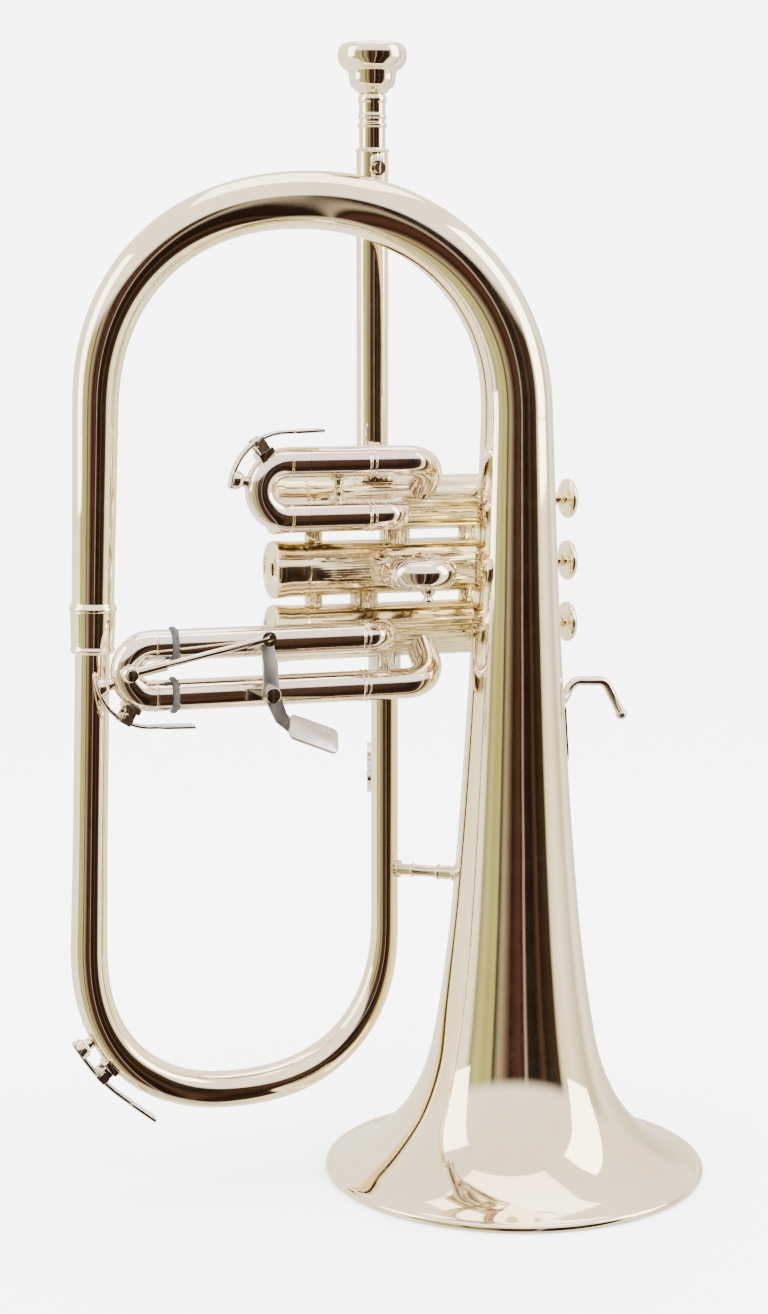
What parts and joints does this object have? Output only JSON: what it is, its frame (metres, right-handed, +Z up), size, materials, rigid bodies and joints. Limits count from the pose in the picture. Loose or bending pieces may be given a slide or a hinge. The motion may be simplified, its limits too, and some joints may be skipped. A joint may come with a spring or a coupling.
{
  "type": "flugelhorn",
  "caption": "Flugelhorn standing on its bell: conical brass tubing, three piston valves, tuning slides with a trigger, water keys and a mouthpiece in a sliding tuning bit.",
  "frame": {"origin": "under the middle of the instrument, in the plane of the bell's rim", "axes": "+Z up the bell towards the mouthpiece, +X along the valves towards the finger buttons, -Y towards the bell's side"},
  "size_m": [0.2509, 0.152, 0.4504],
  "materials": {
    "silver_plate": "polished",
    "casing_plate": "polished",
    "slide_plate": "polished",
    "trim_plate": "polished",
    "trigger_plate": "satin",
    "piston_metal": "satin",
    "spring_steel": "satin",
    "black_rubber": "matte",
    "cork": "matte",
    "felt": "matte"
  },
  "bodies": {
    "horn": {"bell": "silver_plate", "bell_rim_wire": "silver_plate", "upper_bow": "silver_plate", "bow_ferrule": "silver_plate", "lower_bow": "silver_plate", "casing_collars": "trim_plate", "leadpipe": "silver_plate", "receiver": "silver_plate", "bottom_caps": "casing_plate", "top_caps": "casing_plate", "valve_guides": "piston_metal", "balusters": "casing_plate", "casing_knuckles": "casing_plate", "first_slide_legs": "slide_plate", "second_slide_legs": "slide_plate", "third_slide_legs": "slide_plate", "trigger_bracket": "trim_plate", "trigger_pivot_screw": "trim_plate", "bell_braces": "trim_plate", "finger_hook": "trim_plate", "lyre_ring": "trim_plate", "top_felts": "felt", "valve_casing_1": "casing_plate", "valve_spring_1": "spring_steel", "valve_casing_2": "casing_plate", "valve_spring_2": "spring_steel", "valve_casing_3": "casing_plate", "valve_spring_3": "spring_steel", "lower_key_saddle": "trim_plate", "lower_key_screw": "trim_plate"},
    "clamp_screw": {"clamp_screw": "trim_plate"},
    "tuning_bit": {"tuning_bit": "silver_plate"},
    "mouthpiece": {"mouthpiece": "silver_plate"},
    "first_slide": {"first_slide_crook": "slide_plate", "first_key_saddle": "trim_plate", "first_key_screw": "trim_plate"},
    "first_key": {"first_key_lever": "trim_plate", "first_key_cork": "cork"},
    "second_slide": {"second_slide_crook": "slide_plate", "second_slide_knob": "trim_plate"},
    "third_slide": {"third_slide_crook": "slide_plate", "third_slide_bumpers": "black_rubber", "link_stud": "trim_plate", "third_key_saddle": "trim_plate", "third_key_screw": "trim_plate"},
    "third_key": {"third_key_lever": "trim_plate", "third_key_cork": "cork"},
    "link_rod": {"link_rod": "trim_plate"},
    "trigger": {"trigger_lever": "trigger_plate"},
    "lower_key": {"lower_key_lever": "trim_plate", "lower_key_cork": "cork"},
    "valve_1": {"piston_1": "piston_metal", "valve_stem_1": "trim_plate", "finger_button_1": "casing_plate"},
    "valve_2": {"piston_2": "piston_metal", "valve_stem_2": "trim_plate", "finger_button_2": "casing_plate"},
    "valve_3": {"piston_3": "piston_metal", "valve_stem_3": "trim_plate", "finger_button_3": "casing_plate"}
  },
  "joints": [
    {"name": "tuning_bit_slide", "type": "slide", "parent": "horn", "child": "tuning_bit", "axis": [0, 0, 1], "range_m": [0, 0.018]},
    {"name": "mouthpiece_pull", "type": "slide", "parent": "tuning_bit", "child": "mouthpiece", "axis": [0, 0, 1], "range_m": [0, 0.024]},
    {"name": "clamp_screw_turn", "type": "hinge", "parent": "horn", "child": "clamp_screw", "pos_m": [0.00095, 0.0266, 0.401], "axis": [0, -1, 0], "range_deg": [0, 360]},
    {"name": "first_slide_pull", "type": "slide", "parent": "horn", "child": "first_slide", "axis": [-1, 0, 0], "range_m": [0, 0.018]},
    {"name": "second_slide_pull", "type": "slide", "parent": "horn", "child": "second_slide", "axis": [0, -1, 0], "range_m": [0, 0.01]},
    {"name": "third_slide_pull", "type": "slide", "parent": "horn", "child": "third_slide", "axis": [-1, 0, 0], "range_m": [0, 0.014]},
    {"name": "trigger_swing", "type": "hinge", "parent": "horn", "child": "trigger", "pos_m": [-0.05145, 0.0023, 0.1968], "axis": [0, -1, 0], "range_deg": [0, 37.4]},
    {"name": "link_rod_swing", "type": "hinge", "parent": "third_slide", "child": "link_rod", "pos_m": [-0.10705, 0.0026, 0.2071], "axis": [0, 1, 0], "range_deg": [0, 6.4]},
    {"name": "first_key_open", "type": "hinge", "parent": "first_slide", "child": "first_key", "pos_m": [-0.05314, 0.0131, 0.29311], "axis": [0, 1, 0], "range_deg": [0, 12], "stiffness_Nm_per_rad": 0.03, "springref_deg": -28.65},
    {"name": "third_key_open", "type": "hinge", "parent": "third_slide", "child": "third_key", "pos_m": [-0.10665, 0.0131, 0.18898], "axis": [0, -1, 0], "range_deg": [0, 12], "stiffness_Nm_per_rad": 0.03, "springref_deg": -28.65},
    {"name": "lower_key_open", "type": "hinge", "parent": "horn", "child": "lower_key", "pos_m": [-0.11371, 0.0292, 0.04558], "axis": [0, -1, 0], "range_deg": [0, 10], "stiffness_Nm_per_rad": 0.03, "springref_deg": -28.65},
    {"name": "valve_1_press", "type": "slide", "parent": "horn", "child": "valve_1", "axis": [-1, 0, 0], "range_m": [0, 0.0155], "stiffness_N_per_m": 130, "springref_m": -0.015, "deforming": ["valve_spring_1"]},
    {"name": "valve_2_press", "type": "slide", "parent": "horn", "child": "valve_2", "axis": [-1, 0, 0], "range_m": [0, 0.0155], "stiffness_N_per_m": 130, "springref_m": -0.015, "deforming": ["valve_spring_2"]},
    {"name": "valve_3_press", "type": "slide", "parent": "horn", "child": "valve_3", "axis": [-1, 0, 0], "range_m": [0, 0.0155], "stiffness_N_per_m": 130, "springref_m": -0.015, "deforming": ["valve_spring_3"]}
  ],
  "couplings": [
    {"joint": "trigger_swing", "follows": "third_slide_pull", "rad_per_m": 46.501},
    {"joint": "link_rod_swing", "follows": "third_slide_pull", "rad_per_m": 7.854}
  ]
}
